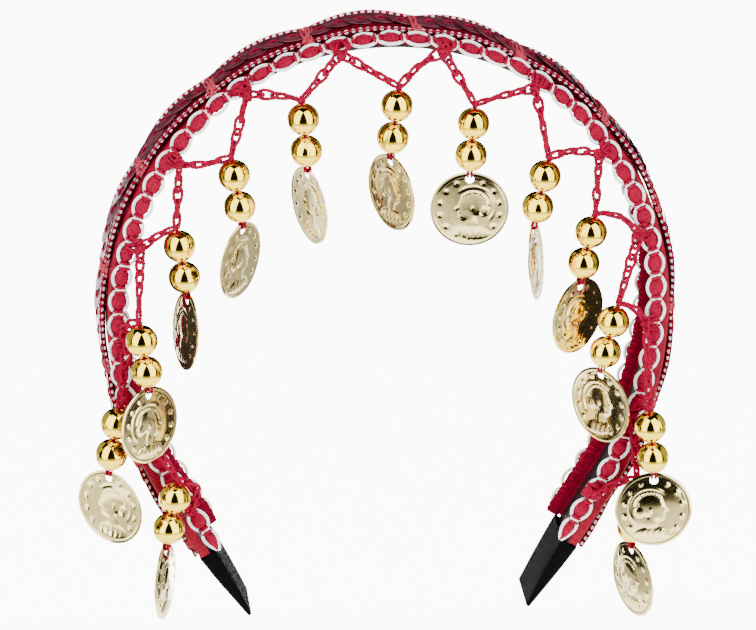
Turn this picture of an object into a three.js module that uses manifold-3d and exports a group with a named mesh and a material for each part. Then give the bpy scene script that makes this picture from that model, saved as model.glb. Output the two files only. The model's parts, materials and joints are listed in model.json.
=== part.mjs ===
// Coin headpiece: a sprung Alice band covered in red satin, a strip with corded scallops down its
// outside, a gimp braid along each edge, and a crochet zig-zag edging that hangs thirteen dangles,
// each of two hollow gilt beads and a thin stamped coin.
// Millimetres. X to the viewer's right, Y away from the viewer, Z up, origin where the middle of
// the band's inner face rests on the crown of the head.
// A place on the band is (s, u, v): s runs along the inner face from the crown, u stands out from
// that face, and v lies across the band, the same as Y.
import * as THREE from "three";
import { mergeVertices } from "three/addons/utils/BufferGeometryUtils.js";
import Module from "manifold-3d";

// The band's line, each side the same: half the crown's arc, the cheek's arc, then straight.
const CROWN_RADIUS = 66;
const CHEEK_RADIUS = 95;
const CHEEK_TURN = THREE.MathUtils.degToRad(32);
const HALF_LENGTH = 190;
const CROWN_LENGTH = (CROWN_RADIUS * Math.PI) / 2;
const CHEEK_LENGTH = CHEEK_RADIUS * CHEEK_TURN;

// Layers, from the head outwards.
const SEAM_GAP = 0.3;
const CORE_THICK = 1.4;
const CORE_HALF_WIDTH = 8.5;
const COVER_WALL = 1;
const COVER_TOP = CORE_THICK + SEAM_GAP + COVER_WALL;
const COVER_HALF_WIDTH = CORE_HALF_WIDTH + SEAM_GAP + COVER_WALL;
const COVER_EASE = 0.6;
const COVER_HEM_AT_CROWN = 1.3;
const COVER_HEM_AT_SIDE = 0;
const STRIP_WALL = 1;
const CORD_RADIUS = 0.55;
const TRIM_HALF_LENGTH = 170.4;

// The strip is tied in by a knot between scallops, and swells between the knots.
const SCALLOP_PITCH = 24.8;
const FIRST_KNOT = 6.5;
const RINGS_A_SCALLOP = 4;
const KNOT_HALF_WIDTH = 5.6;
const SWELL_WIDTH = 1.7;
const SWELL_HEIGHT_AT_CROWN = 1.2;
const SWELL_HEIGHT_AT_SIDE = 0.5;

// Gimp: a row of padded ovals, each a little wider and thicker than the crossing after it.
const OVAL_PITCH = 6.1;
const OVAL_HALF_WIDTH = 2.45;
const OVAL_HALF_THICK = 0.75;
const CROSSING_HALF_WIDTH = 1.9;
const CROSSING_HALF_THICK = 0.5;
// How each braid sits on its edge of the band. tilt is in degrees from standing flat on the edge,
// towards lying like a brim.
const FRONT_GIMP_SEAT = [
  { s: -171, u: -2.5, v: -10.97, tilt: 4 },
  { s: -148, u: -2.3, v: -10.97, tilt: 4 },
  { s: -135, u: -0.8, v: -10.97, tilt: 4 },
  { s: -122, u: 0.8, v: -10.97, tilt: 5 },
  { s: -105, u: 0.2, v: -10.97, tilt: 5 },
  { s: -88, u: -0.2, v: -10.97, tilt: 6 },
  { s: -66, u: 0.6, v: -11.3, tilt: 18 },
  { s: -50, u: 1.7, v: -11.9, tilt: 38 },
  { s: -30, u: 2.8, v: -12, tilt: 56 },
  { s: 0, u: 3.5, v: -11.8, tilt: 65 },
  { s: 30, u: 2.8, v: -12, tilt: 54 },
  { s: 50, u: 1.2, v: -11.8, tilt: 30 },
  { s: 66, u: 0, v: -11.1, tilt: 12 },
  { s: 88, u: -0.3, v: -10.97, tilt: 5 },
  { s: 103, u: -0.9, v: -10.97, tilt: 4 },
  { s: 120, u: -1.4, v: -10.97, tilt: 4 },
  { s: 148, u: -1.8, v: -10.97, tilt: 4 },
  { s: 171, u: -2.5, v: -10.97, tilt: 4 },
];
const BACK_GIMP_SEAT = [
  { s: -171, u: -2, v: 10.97, tilt: -4 },
  { s: -105, u: -0.8, v: 10.97, tilt: -4 },
  { s: -60, u: 0, v: 10.97, tilt: -4 },
  { s: 0, u: 0.3, v: 10.97, tilt: -4 },
  { s: 60, u: 0, v: 10.97, tilt: -4 },
  { s: 105, u: -0.8, v: 10.97, tilt: -4 },
  { s: 171, u: -2, v: 10.97, tilt: -4 },
];

// The folded satin cap on each end.
const CAP_MOUTH = 171;
const CAP_WALL = 1;
const CAP_OUTSIDE = 3.1;
const CAP_INSIDE = -1.3;
const CAP_TIP_HALF_WIDTH = 9.2;
const CAP_TIP_HALF_THICK = 0.35;
const CORE_END = 183;
const CORE_END_THICK = 0.5;

// Crochet edging: caught to the front gimp every 24 mm, with a V between each two catches.
const CATCH_PITCH = 24;
const CHAIN_WIDTH = 2.2;
const CHAIN_WIDTH_AT_BEAD = 1.3;
const CHAIN_THICK = 1.1;
const CHAIN_STEPS = 3;
const CATCH_RADIUS = 0.95;
// How far each catch lies beyond the braid's free edge, and how far it stands proud of the braid,
// by its distance from the crown on either side.
const CATCH_SEAT = [
  { s: 0, beyond: 1.3, proud: 0.35 },
  { s: 60, beyond: 0.6, proud: 1.2 },
  { s: 108, beyond: 0, proud: 1.6 },
  { s: 132, beyond: -1.4, proud: 2.1 },
  { s: 156, beyond: -2.6, proud: 2.1 },
];

// Dangles.
const BEAD_RADIUS = 3.9;
const BEAD_HOLE_RADIUS = 1.25;
const BEAD_PITCH = 8.05;
const BEAD_SIDES = 8;
const BEAD_BANDS = 6;
const THREAD_RADIUS = 0.5;
const THREAD_SIDES = 5;
const THREAD_INSET = 1.5;
const LOOP_RADIUS = 0.25;
const LOOP_PLAY = 0.25;
const LOOP_BEND = 0.35;
const LOOP_SPREAD = 0.65;
const COIN_RADIUS = 9.5;
const COIN_THICK = 0.4;
const COIN_SIDES = 20;
const COIN_HOLE_RADIUS = 1.1;
const COIN_HOLE_SIDES = 6;
const COIN_HOLE_DROP = 1.8;
const COIN_GAP = 0.3;
// x, y and z place the upper bead. lean is in degrees towards +X going down, and yaw turns the
// coin's face from the viewer towards +X. bow is how far the middle of the V's slack arm stands
// above the straight line between its ends.
const DANGLES = [
  { x: -53.2, y: -16.2, z: -110.8, lean: -11, yaw: 72, bow: 3.6 },
  { x: -67.1, y: -16.2, z: -91, lean: -10, yaw: -39, bow: 1.7 },
  { x: -60.9, y: -18.8, z: -69, lean: 8, yaw: 42, bow: 2.3 },
  { x: -51.2, y: -13, z: -47.1, lean: 8, yaw: -75, bow: 0.5 },
  { x: -37.9, y: -14, z: -29.3, lean: 9, yaw: 56, bow: -0.8 },
  { x: -21.3, y: -15.2, z: -15.2, lean: 5, yaw: -68, bow: 0.5 },
  { x: 1.2, y: -15.4, z: -12.4, lean: -7, yaw: -60, bow: 0.9 },
  { x: 19.7, y: -15.2, z: -17.4, lean: -4, yaw: -4, bow: 0.3 },
  { x: 37.2, y: -14, z: -31.5, lean: -12, yaw: 74, bow: 1.3 },
  { x: 48.7, y: -13, z: -46.4, lean: -12, yaw: 44, bow: 1.9 },
  { x: 54.5, y: -13, z: -69.5, lean: -14, yaw: -50, bow: 1.2 },
  { x: 63.3, y: -18, z: -95.3, lean: 5, yaw: -3, bow: 0.8 },
  { x: 60.5, y: -13, z: -115.3, lean: -4, yaw: -66, bow: 0.8 },
];

const GARNET_SATIN = 0xb8002f;
const CRIMSON_YARN = 0xe3003f;
const BLACK_SATIN = 0x15151a;
const SEQUIN_MAROON = 0x5a2a35;
const GILT = 0xd9a92f;
const PALE_GILT = 0xd9d3ae;

const TOWARDS_VIEWER = new THREE.Vector3(0, -1, 0);
const SQUARE = [
  new THREE.Vector2(-1, -1),
  new THREE.Vector2(-1, 1),
  new THREE.Vector2(1, 1),
  new THREE.Vector2(1, -1),
];

const wasm = await Module();
wasm.setup();

// ---- places on the band ----

function bandAt(s) {
  const side = s < 0 ? -1 : 1;
  const run = Math.abs(s);
  const cheekRun = THREE.MathUtils.clamp(run - CROWN_LENGTH, 0, CHEEK_LENGTH);
  const straightRun = Math.max(run - CROWN_LENGTH - CHEEK_LENGTH, 0);
  const crownTurn = Math.min(run / CROWN_RADIUS, Math.PI / 2);
  const cheekTurn = cheekRun / CHEEK_RADIUS;
  const x = CROWN_RADIUS * Math.sin(crownTurn) - CHEEK_RADIUS * (1 - Math.cos(cheekTurn));
  const z = CROWN_RADIUS * (Math.cos(crownTurn) - 1) - CHEEK_RADIUS * Math.sin(cheekTurn);
  return {
    x: side * (x - straightRun * Math.sin(cheekTurn)),
    z: z - straightRun * Math.cos(cheekTurn),
    turn: side * (crownTurn + cheekTurn),
  };
}

function onBand(s, u, v) {
  const { x, z, turn } = bandAt(s);
  return new THREE.Vector3(x + u * Math.sin(turn), v, z + u * Math.cos(turn));
}

function evenSteps(from, to, count) {
  return Array.from({ length: count + 1 }, (_, i) => from + ((to - from) * i) / count);
}

// A table's row at s, with each column read along a straight line between its rows.
function rowAt(table, s) {
  const next = Math.max(table.findIndex((row) => row.s >= s), 1);
  const [a, b] = [table[next - 1], table[next]];
  const share = (s - a.s) / (b.s - a.s);
  const columns = Object.keys(a).map((key) => [key, THREE.MathUtils.lerp(a[key], b[key], share)]);
  return Object.fromEntries(columns);
}

// ---- solids ----

// A closed solid through rings of points, each turning left as seen from beyond the last one.
// outline gives one ring's corners on a plane, for the two ends.
function loft(rings, outline) {
  const corners = rings[0].length;
  const positions = rings.flat().flatMap((p) => [p.x, p.y, p.z]);
  const faces = [];
  for (let r = 0; r + 1 < rings.length; r++) {
    for (let c = 0; c < corners; c++) {
      const a = r * corners + c;
      const b = r * corners + ((c + 1) % corners);
      faces.push(a, b, b + corners, a, b + corners, a + corners);
    }
  }
  const last = (rings.length - 1) * corners;
  const turnsLeft = THREE.ShapeUtils.area(outline) > 0;
  for (const corner of THREE.ShapeUtils.triangulateShape(outline, [])) {
    const triangleTurnsLeft = THREE.ShapeUtils.area(corner.map((c) => outline[c])) > 0;
    const [a, b, c] = triangleTurnsLeft === turnsLeft ? corner : corner.toReversed();
    faces.push(a, c, b, last + a, last + b, last + c);
  }
  const geometry = new THREE.BufferGeometry();
  geometry.setAttribute("position", new THREE.Float32BufferAttribute(positions, 3));
  geometry.setIndex(faces);
  return geometry;
}

// A wall or braid along the band. section(s) lists its corners as [v, u], turning from +u to +v.
function alongBand(stations, section) {
  const corners = (s) => section(s).toReversed();
  const rings = stations.map((s) => corners(s).map(([v, u]) => onBand(s, u, v)));
  const outline = corners(stations[0]).map(([v, u]) => new THREE.Vector2(v, u));
  return loft(rings, outline);
}

function toSolid(geometry) {
  const bare = geometry.index ? geometry.toNonIndexed() : geometry.clone();
  bare.deleteAttribute("normal");
  bare.deleteAttribute("uv");
  const merged = mergeVertices(bare, 1e-4);
  return new wasm.Manifold(
    new wasm.Mesh({
      numProp: 3,
      vertProperties: merged.getAttribute("position").array,
      triVerts: new Uint32Array(merged.index.array),
    }),
  );
}

function toGeometry(solid) {
  const mesh = solid.getMesh();
  const geometry = new THREE.BufferGeometry();
  geometry.setAttribute("position", new THREE.BufferAttribute(mesh.vertProperties, 3));
  geometry.setIndex(new THREE.BufferAttribute(mesh.triVerts, 1));
  return geometry;
}

function rod(from, to, radius, sides) {
  const along = to.clone().sub(from);
  const geometry = new THREE.CylinderGeometry(radius, radius, along.length(), sides);
  const up = new THREE.Vector3(0, 1, 0);
  geometry.applyQuaternion(new THREE.Quaternion().setFromUnitVectors(up, along.normalize()));
  const middle = from.clone().add(to).multiplyScalar(0.5);
  return geometry.translate(middle.x, middle.y, middle.z);
}

// ---- the band ----

// Places along the trims, RINGS_A_SCALLOP to each scallop, so that one falls on every knot.
function trimPlaces() {
  const step = SCALLOP_PITCH / RINGS_A_SCALLOP;
  const reach = TRIM_HALF_LENGTH - step / 3;
  const low = Math.ceil((-reach - FIRST_KNOT) / step);
  const high = Math.floor((reach - FIRST_KNOT) / step);
  const inner = evenSteps(low, high, high - low).map((i) => FIRST_KNOT + i * step);
  return [-TRIM_HALF_LENGTH, ...inner, TRIM_HALF_LENGTH];
}

const stationsOnTrims = trimPlaces();

function bandCore() {
  const half = CORE_HALF_WIDTH;
  const stations = [-CORE_END, ...stationsOnTrims, CORE_END];
  return alongBand(stations, (s) => {
    const end = Math.abs(s) === CORE_END;
    const thin = end ? (CORE_THICK - CORE_END_THICK) / 2 : 0;
    return [
      [-half, thin],
      [-half, CORE_THICK - thin],
      [half, CORE_THICK - thin],
      [half, thin],
    ];
  });
}

// The satin laps over both edges of the core, so its section is a shallow channel. It laps further
// at the sides than at the crown.
function satinCover() {
  const out = COVER_HALF_WIDTH;
  const inn = out - COVER_WALL;
  const underside = COVER_TOP - COVER_WALL;
  return alongBand(stationsOnTrims, (s) => {
    const hem = fromCrownToSide(s, COVER_HEM_AT_CROWN, COVER_HEM_AT_SIDE);
    return [
      [-out, hem],
      [-out, COVER_TOP - COVER_EASE],
      [-out + COVER_EASE, COVER_TOP],
      [out - COVER_EASE, COVER_TOP],
      [out, COVER_TOP - COVER_EASE],
      [out, hem],
      [inn, hem],
      [inn, underside],
      [-inn, underside],
      [-inn, hem],
    ];
  });
}

// A measure that changes evenly along the crown's arc and then stays the same.
function fromCrownToSide(s, atCrown, atSide) {
  return THREE.MathUtils.lerp(atCrown, atSide, Math.min(Math.abs(s) / CROWN_LENGTH, 1));
}

// How far the strip has swollen at s, from 0 at a knot to 1 midway.
function swellAt(s) {
  return Math.abs(Math.sin((Math.PI * (s - FIRST_KNOT)) / SCALLOP_PITCH));
}

function swellHeight(s) {
  return fromCrownToSide(s, SWELL_HEIGHT_AT_CROWN, SWELL_HEIGHT_AT_SIDE) * swellAt(s);
}

function cordPlace(s) {
  return {
    v: KNOT_HALF_WIDTH + SWELL_WIDTH * swellAt(s),
    u: COVER_TOP + SEAM_GAP + CORD_RADIUS + swellHeight(s),
  };
}

function scallopStrip() {
  const seat = COVER_TOP + SEAM_GAP;
  return alongBand(stationsOnTrims, (s) => {
    const half = cordPlace(s).v - CORD_RADIUS - SEAM_GAP;
    const rise = swellHeight(s);
    return [
      [-half, seat + rise / 2],
      [-half, seat + rise + STRIP_WALL],
      [half, seat + rise + STRIP_WALL],
      [half, seat + rise / 2],
    ];
  });
}

function picotCord(side) {
  return alongBand(stationsOnTrims, (s) => {
    const { v, u } = cordPlace(s);
    return [
      [side * v - CORD_RADIUS, u],
      [side * v, u + CORD_RADIUS],
      [side * v + CORD_RADIUS, u],
      [side * v, u - CORD_RADIUS],
    ];
  });
}

function gimpBraid(table) {
  const ovals = Math.floor((2 * TRIM_HALF_LENGTH) / OVAL_PITCH);
  const stations = evenSteps(-TRIM_HALF_LENGTH, TRIM_HALF_LENGTH, ovals * 2);
  const middleOfOval = new Set(stations.filter((_, i) => i % 2 === 1));
  return alongBand(stations, (s) => {
    const seat = rowAt(table, s);
    const tilt = THREE.MathUtils.degToRad(seat.tilt);
    const oval = middleOfOval.has(s);
    const half = oval ? OVAL_HALF_WIDTH : CROSSING_HALF_WIDTH;
    const thick = oval ? OVAL_HALF_THICK : CROSSING_HALF_THICK;
    // across runs along the braid's width and through its thickness.
    const place = (across, through) => [
      seat.v + across * Math.sin(tilt) - through * Math.cos(tilt),
      seat.u + across * Math.cos(tilt) + through * Math.sin(tilt),
    ];
    return [
      place(-half, 0),
      place(-half / 2, thick),
      place(half / 2, thick),
      place(half, 0),
      place(half / 2, -thick),
      place(-half / 2, -thick),
    ];
  });
}

// A wedge of folded satin, hollow where the core runs into it.
function endCap(side) {
  const mouthHalf = CORE_HALF_WIDTH + SEAM_GAP + CAP_WALL;
  const tipMiddle = CORE_THICK / 2;
  const box = (half, low, high) => [
    [-half, low],
    [-half, high],
    [half, high],
    [half, low],
  ];
  const wedge = alongBand([CAP_MOUTH, HALF_LENGTH], (s) =>
    s === CAP_MOUTH
      ? box(mouthHalf, CAP_INSIDE, CAP_OUTSIDE)
      : box(CAP_TIP_HALF_WIDTH, tipMiddle - CAP_TIP_HALF_THICK, tipMiddle + CAP_TIP_HALF_THICK),
  );
  const bottom = CORE_END + SEAM_GAP;
  const pocket = alongBand([CAP_MOUTH - 1, bottom], (s) => {
    const thin = s === bottom ? (CORE_THICK - CORE_END_THICK) / 2 : 0;
    const half = CORE_HALF_WIDTH + SEAM_GAP;
    return box(half, thin - SEAM_GAP, CORE_THICK - thin + SEAM_GAP);
  });
  const cap = toGeometry(toSolid(wedge).subtract(toSolid(pocket)));
  return side < 0 ? mirrored(cap) : cap;
}

function mirrored(geometry) {
  const turned = geometry.clone().scale(-1, 1, 1);
  const corners = turned.index.array;
  for (let i = 0; i < corners.length; i += 3) {
    [corners[i + 1], corners[i + 2]] = [corners[i + 2], corners[i + 1]];
  }
  return turned;
}

// ---- the dangles ----

// Every place on one dangle, from its row of the table.
function dangleAt(row) {
  const lean = THREE.MathUtils.degToRad(row.lean);
  const yaw = THREE.MathUtils.degToRad(row.yaw);
  const down = new THREE.Vector3(Math.sin(lean), 0, -Math.cos(lean));
  const upper = new THREE.Vector3(row.x, row.y, row.z);
  const below = (distance) => upper.clone().addScaledVector(down, distance);
  const mouth = BEAD_PITCH + BEAD_RADIUS;
  const hole = below(mouth);
  hole.z -= COIN_GAP + COIN_HOLE_DROP;
  const coin = hole.clone();
  coin.z -= COIN_RADIUS - COIN_HOLE_DROP;
  return {
    down,
    upper,
    lower: below(BEAD_PITCH),
    top: below(-BEAD_RADIUS - SEAM_GAP - CATCH_RADIUS),
    threadEnd: below(mouth - THREAD_INSET),
    hole,
    coin,
    face: new THREE.Vector3(Math.sin(yaw), -Math.cos(yaw), 0),
  };
}

// A moulded hollow bead, open at both poles for the thread.
function bead() {
  const from = Math.asin(BEAD_HOLE_RADIUS / BEAD_RADIUS);
  const outer = evenSteps(Math.PI - from, from, BEAD_BANDS).map(
    (a) => new THREE.Vector2(BEAD_RADIUS * Math.sin(a), BEAD_RADIUS * Math.cos(a)),
  );
  return new THREE.LatheGeometry([...outer, outer[0].clone()], BEAD_SIDES);
}

function ringOfPoints(radius, sides, y) {
  return Array.from({ length: sides }, (_, i) => {
    const a = (2 * Math.PI * (i + 0.5)) / sides;
    return new THREE.Vector2(radius * Math.cos(a), y + radius * Math.sin(a));
  });
}

// A thin disc with its hole near the top, facing +Z, its middle at the origin.
function coin() {
  const shape = new THREE.Shape(ringOfPoints(COIN_RADIUS, COIN_SIDES, 0));
  const drop = COIN_RADIUS - COIN_HOLE_DROP;
  shape.holes.push(new THREE.Path(ringOfPoints(COIN_HOLE_RADIUS, COIN_HOLE_SIDES, drop)));
  const geometry = new THREE.ExtrudeGeometry(shape, { depth: COIN_THICK, bevelEnabled: false });
  return geometry.translate(0, 0, -COIN_THICK / 2);
}

// ---- the crochet edging ----

// Where the edging is caught to the front gimp at s.
function catchAt(s) {
  const { u, v, tilt: degrees } = rowAt(FRONT_GIMP_SEAT, s);
  const { beyond, proud } = rowAt(CATCH_SEAT, Math.abs(s));
  const tilt = THREE.MathUtils.degToRad(degrees);
  const across = OVAL_HALF_WIDTH + beyond;
  return onBand(
    s,
    u - across * Math.cos(tilt) + proud * Math.sin(tilt),
    v - across * Math.sin(tilt) - proud * Math.cos(tilt),
  );
}

// A flat yarn or chain through points, its thin way along facing, that narrows to endWidth.
function ribbon(points, facing, thick, startWidth, endWidth = startWidth) {
  const rings = points.map((point, i) => {
    const width = THREE.MathUtils.lerp(startWidth, endWidth, i / (points.length - 1));
    const before = points[Math.max(i - 1, 0)];
    const after = points[Math.min(i + 1, points.length - 1)];
    const tangent = after.clone().sub(before).normalize();
    const across = tangent.clone().cross(facing).normalize();
    const through = across.clone().cross(tangent);
    return SQUARE.map(({ x, y }) =>
      point
        .clone()
        .addScaledVector(across, (x * width) / 2)
        .addScaledVector(through, (y * thick) / 2),
    );
  });
  return loft(rings, SQUARE);
}

// One arm of a V. bow is how far its middle stands above the straight line between its ends.
function chainArm(from, to, bow) {
  const along = to.clone().sub(from);
  const above = new THREE.Vector3(-along.z, 0, along.x).normalize();
  above.multiplyScalar(2 * bow * Math.sign(above.z));
  const middle = from.clone().add(to).multiplyScalar(0.5).add(above);
  const curve = new THREE.QuadraticBezierCurve3(from, middle, to);
  const points = curve.getPoints(CHAIN_STEPS);
  return ribbon(points, TOWARDS_VIEWER, CHAIN_THICK, CHAIN_WIDTH, CHAIN_WIDTH_AT_BEAD);
}

function blob(place) {
  return new THREE.OctahedronGeometry(CATCH_RADIUS).translate(place.x, place.y, place.z);
}

// The chain, the thread through each pair of beads, and the loop that holds each coin.
function crochetEdging() {
  const pieces = [];
  const middle = (DANGLES.length - 1) / 2;
  const catches = evenSteps(-middle - 0.5, middle + 0.5, DANGLES.length).map((i) =>
    catchAt(i * CATCH_PITCH),
  );
  pieces.push(...catches.map(blob));
  DANGLES.forEach((row, i) => {
    const { top, threadEnd, hole, face } = dangleAt(row);
    const [high, low] = i < middle ? [catches[i + 1], catches[i]] : [catches[i], catches[i + 1]];
    pieces.push(blob(top));
    pieces.push(chainArm(high, top, 0));
    pieces.push(chainArm(low, top, row.bow));
    pieces.push(rod(top, threadEnd, THREAD_RADIUS, THREAD_SIDES));
    const clear = COIN_THICK / 2 + LOOP_RADIUS + LOOP_PLAY;
    const place = (from, aside, up) =>
      from.clone().addScaledVector(face, aside).add(new THREE.Vector3(0, 0, up));
    const loop = [
      place(threadEnd, LOOP_SPREAD, 0),
      place(hole, clear, LOOP_BEND),
      place(hole, clear - LOOP_BEND, 0),
      place(hole, LOOP_BEND - clear, 0),
      place(hole, -clear, LOOP_BEND),
      place(threadEnd, -LOOP_SPREAD, 0),
    ];
    const alongCoin = new THREE.Vector3(face.y, -face.x, 0);
    pieces.push(ribbon(loop, alongCoin, 2 * LOOP_RADIUS, 2 * LOOP_RADIUS));
  });
  const whole = pieces.map(toSolid).reduce((joined, piece) => joined.add(piece));
  const largestFirst = (a, b) => b.volume() - a.volume();
  return toGeometry(whole.decompose().sort(largestFirst)[0]);
}

// ---- the scene graph ----

const group = new THREE.Group();

function add(name, geometry, color, roughness, metalness, parent = group) {
  const material = new THREE.MeshStandardMaterial({ color, roughness, metalness });
  const mesh = new THREE.Mesh(geometry, material);
  mesh.name = name;
  parent.add(mesh);
  return mesh;
}

add("band_core", bandCore(), BLACK_SATIN, 0.45, 0);
add("satin_cover", satinCover(), GARNET_SATIN, 0.4, 0);
add("scallop_strip", scallopStrip(), SEQUIN_MAROON, 0.3, 0);
add("picot_cord_front", picotCord(-1), CRIMSON_YARN, 0.6, 0);
add("picot_cord_back", picotCord(1), CRIMSON_YARN, 0.6, 0);
add("gimp_front", gimpBraid(FRONT_GIMP_SEAT), CRIMSON_YARN, 0.8, 0);
add("gimp_back", gimpBraid(BACK_GIMP_SEAT), CRIMSON_YARN, 0.8, 0);
add("cap_left", endCap(-1), BLACK_SATIN, 0.5, 0);
add("cap_right", endCap(1), BLACK_SATIN, 0.5, 0);
add("crochet_edging", crochetEdging(), CRIMSON_YARN, 0.8, 0);

DANGLES.forEach((row, i) => {
  const number = String(i + 1).padStart(2, "0");
  const { down, upper, lower, coin: middle } = dangleAt(row);
  const alongThread = new THREE.Quaternion().setFromUnitVectors(new THREE.Vector3(0, -1, 0), down);
  for (const [which, place] of [["upper", upper], ["lower", lower]]) {
    const mesh = add("bead_" + which + "_" + number, bead(), GILT, 0.1, 1);
    mesh.quaternion.copy(alongThread);
    mesh.position.copy(place);
  }
  const hanger = new THREE.Group();
  hanger.position.copy(middle);
  hanger.rotation.z = THREE.MathUtils.degToRad(row.yaw);
  const disc = add("coin_" + number, coin(), PALE_GILT, 0.2, 1, hanger);
  disc.rotation.x = Math.PI / 2;
  group.add(hanger);
});

export default group;
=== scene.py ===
"""Coin headpiece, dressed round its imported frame: a satin-wrapped band with a sequined ribbon and
two gimp braids, and a crochet edging that hangs gilt beads and stamped coins.

Sizes are in millimetres until a mesh is made. A place on the band is (s, u, v): s runs along the
inner face from the crown, u stands out from that face, and v lies across the band, the same as Y.
"""
import json
import math

import bmesh
import bpy
import numpy as np
from mathutils import Matrix, Vector, noise
from mathutils.geometry import delaunay_2d_cdt


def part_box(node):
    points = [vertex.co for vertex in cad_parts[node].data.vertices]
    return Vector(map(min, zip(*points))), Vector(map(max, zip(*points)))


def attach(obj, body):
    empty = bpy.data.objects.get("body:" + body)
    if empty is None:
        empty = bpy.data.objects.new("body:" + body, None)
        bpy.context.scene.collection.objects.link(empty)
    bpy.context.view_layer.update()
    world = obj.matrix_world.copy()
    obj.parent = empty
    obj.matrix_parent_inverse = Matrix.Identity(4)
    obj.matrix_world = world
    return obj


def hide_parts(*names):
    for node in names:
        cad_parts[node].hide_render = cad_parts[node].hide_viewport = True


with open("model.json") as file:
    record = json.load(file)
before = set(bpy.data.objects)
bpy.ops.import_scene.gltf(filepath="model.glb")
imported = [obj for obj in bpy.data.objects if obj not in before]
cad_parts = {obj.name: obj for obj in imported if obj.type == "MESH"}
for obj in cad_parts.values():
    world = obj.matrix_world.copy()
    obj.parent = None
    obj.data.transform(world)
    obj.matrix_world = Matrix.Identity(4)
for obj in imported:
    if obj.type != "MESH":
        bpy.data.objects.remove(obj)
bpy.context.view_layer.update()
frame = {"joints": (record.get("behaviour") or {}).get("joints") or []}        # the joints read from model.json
MM = 0.001

# ---- Camera ----
# A long lens from a little left of the front and well above it, so the band's hoop shows its
# front edge, and the trims on its crown show from above.
CAMERA_TARGET = Vector((-2.0, 0.0, -70.6)) * MM
CAMERA_DISTANCE = 1.5
CAMERA_AZIMUTH = math.radians(-5)
CAMERA_ELEVATION = math.radians(19)
CAMERA_LENS = 291.5


def seen_from(azimuth, elevation, distance):
    """A place round the target, with azimuth 0 in front and 90 at the viewer's right."""
    level = math.cos(elevation)
    away = Vector((math.sin(azimuth) * level, -math.cos(azimuth) * level, math.sin(elevation)))
    return CAMERA_TARGET + away * distance


def aim(thing, place):
    thing.location = place
    thing.rotation_euler = (CAMERA_TARGET - place).to_track_quat("-Z", "Y").to_euler()
    bpy.context.scene.collection.objects.link(thing)


camera = bpy.data.objects.new("camera", bpy.data.cameras.new("camera"))
camera.data.lens = CAMERA_LENS
camera.data.clip_start = 0.05
aim(camera, seen_from(CAMERA_AZIMUTH, CAMERA_ELEVATION, CAMERA_DISTANCE))
bpy.context.scene.camera = camera


# ---- Studio ----
# A pale floor well below the hanging coins, lit from within under them and behind them, where a
# strip in the middle is brighter as a backdrop. Two tall soft boxes stand either side of the camera
# with a dark gap between them, and two bounce boards at the sides. The room above is dim, so that the
# gilt has something dark to mirror.
FLOOR_DROP = 0.6
FLOOR_RADIUS = 3.2
FLOOR_WHITE = "#DEDDDB"
FLOOR_GREY = "#D6D5D3"
# Each glow fades out over a stretch of the floor, given in metres from the part.
GLOW_UNDER = 4.0
UNDER_FADE = (0.83, 0.93)
GLOW_BEHIND = 2.8
BEHIND_FADE = (0.7, 1.15)
BACKDROP_GLOW = 12.0
BACKDROP_EDGE = (0.55, 0.75)
LIGHT_DISTANCE = 1.3
ROOM_DARK = "#1A1918"


def table(columns, *rows):
    """A short table as one dict a row, with its columns named once."""
    return [dict(zip(columns.split(), row)) for row in rows]


def linear(hex_colour):
    """An sRGB hex colour as the linear RGBA that a shader takes."""
    shares = [int(hex_colour[i : i + 2], 16) / 255 for i in (1, 3, 5)]
    return (*[c / 12.92 if c <= 0.04045 else ((c + 0.055) / 1.055) ** 2.4 for c in shares], 1)


def feed(node, inputs):
    """Sets a node's inputs. Each takes a value, or a socket to link from."""
    for name, value in inputs.items():
        if isinstance(value, bpy.types.NodeSocket):
            node.id_data.links.new(value, node.inputs[name])
        else:
            node.inputs[name].default_value = value


def add_node(tree, kind, inputs=None, **settings):
    made = tree.nodes.new(kind)
    for name, value in settings.items():
        setattr(made, name, value)
    feed(made, inputs or {})
    return made


def new_finish(name):
    """A material, its node tree and its shader."""
    material = bpy.data.materials.new(name)
    material.use_nodes = True
    return material, material.node_tree, material.node_tree.nodes["Principled BSDF"]


def two_tone(tree, shader, factor, dark, pale, stops=(0, 1)):
    """Colours a finish from dark to pale as the factor rises from the first stop to the second."""
    tone = add_node(tree, "ShaderNodeValToRGB", {"Fac": factor})
    for element, colour, stop in zip(tone.color_ramp.elements, (dark, pale), stops):
        element.color = linear(colour)
        element.position = stop
    feed(shader, {"Base Color": tone.outputs["Color"]})


def carried(tree, value, from_span, to_span, **settings):
    """A value carried over from one span onto another."""
    names = ("From Min", "From Max", "To Min", "To Max")
    inputs = {"Value": value, **dict(zip(names, (*from_span, *to_span)))}
    return add_node(tree, "ShaderNodeMapRange", inputs, **settings).outputs["Result"]


def calculated(tree, operation, *values):
    return add_node(tree, "ShaderNodeMath", dict(enumerate(values)), operation=operation).outputs["Value"]


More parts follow.
